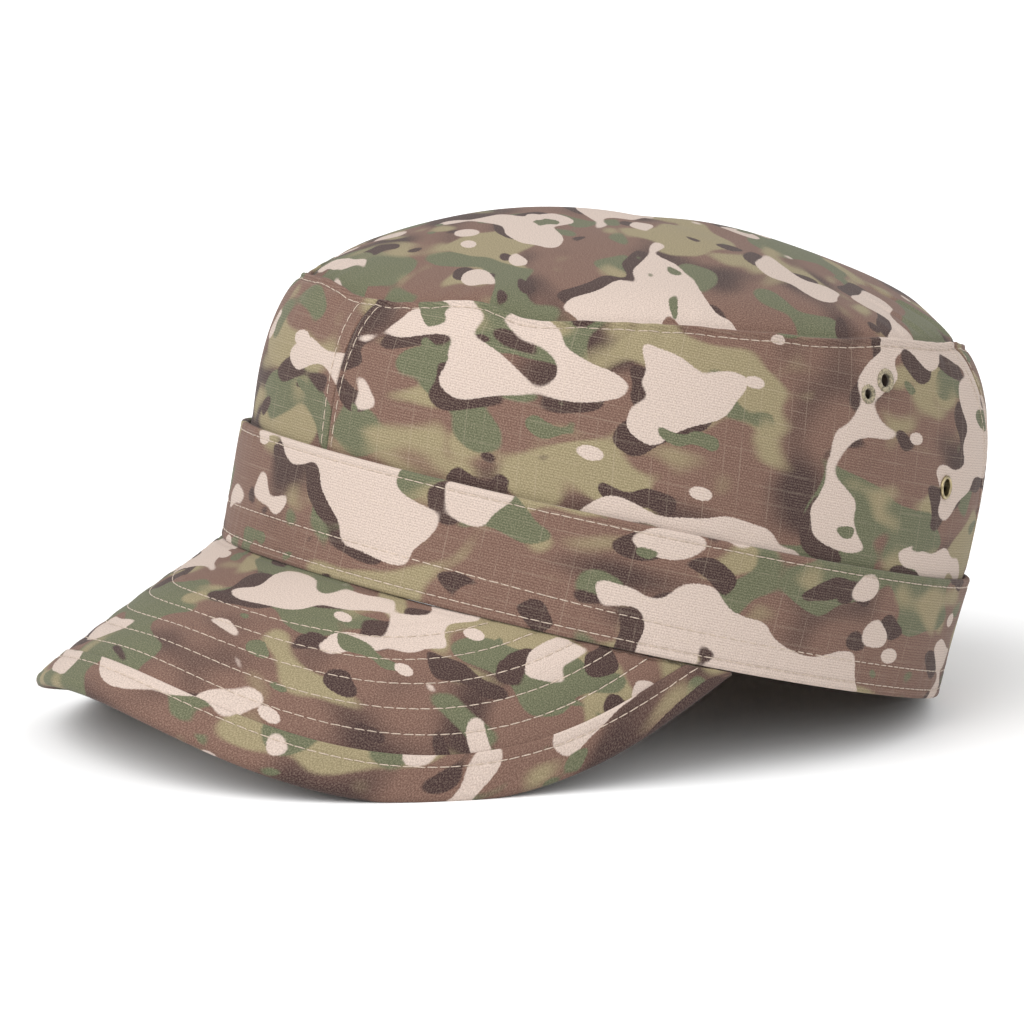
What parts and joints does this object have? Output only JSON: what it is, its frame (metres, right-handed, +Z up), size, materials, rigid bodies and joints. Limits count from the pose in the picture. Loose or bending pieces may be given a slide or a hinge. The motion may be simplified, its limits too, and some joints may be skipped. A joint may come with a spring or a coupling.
{
  "type": "patrol cap",
  "caption": "Soft patrol cap with a domed oval top, panelled wall, turned-up band, vent eyelets and a stiff arched peak.",
  "frame": {"origin": "middle of the cap's bounding box, on the surface that the cap rests on", "axes": "+X to the wearer's left, +Y to the back of the head, +Z up from the surface"},
  "size_m": [0.176, 0.2582, 0.1232],
  "materials": {
    "ripstop_cloth": "matt printed cotton ripstop in brown, green, khaki and pale tan patches",
    "thread": "matt khaki sewing thread",
    "eyelet_brass": "antique brass"
  },
  "bodies": {
    "root": {"crown_top": "ripstop_cloth", "left_side_panel": "ripstop_cloth", "right_side_panel": "ripstop_cloth", "back_panel": "ripstop_cloth", "band": "ripstop_cloth", "peak": "ripstop_cloth", "peak_binding": "ripstop_cloth", "stitched_eyelet_1": "thread", "stitched_eyelet_2": "thread", "stitched_eyelet_3": "thread", "stitched_eyelet_4": "thread", "metal_eyelet_1": "eyelet_brass", "metal_eyelet_2": "eyelet_brass"}
  },
  "joints": []
}
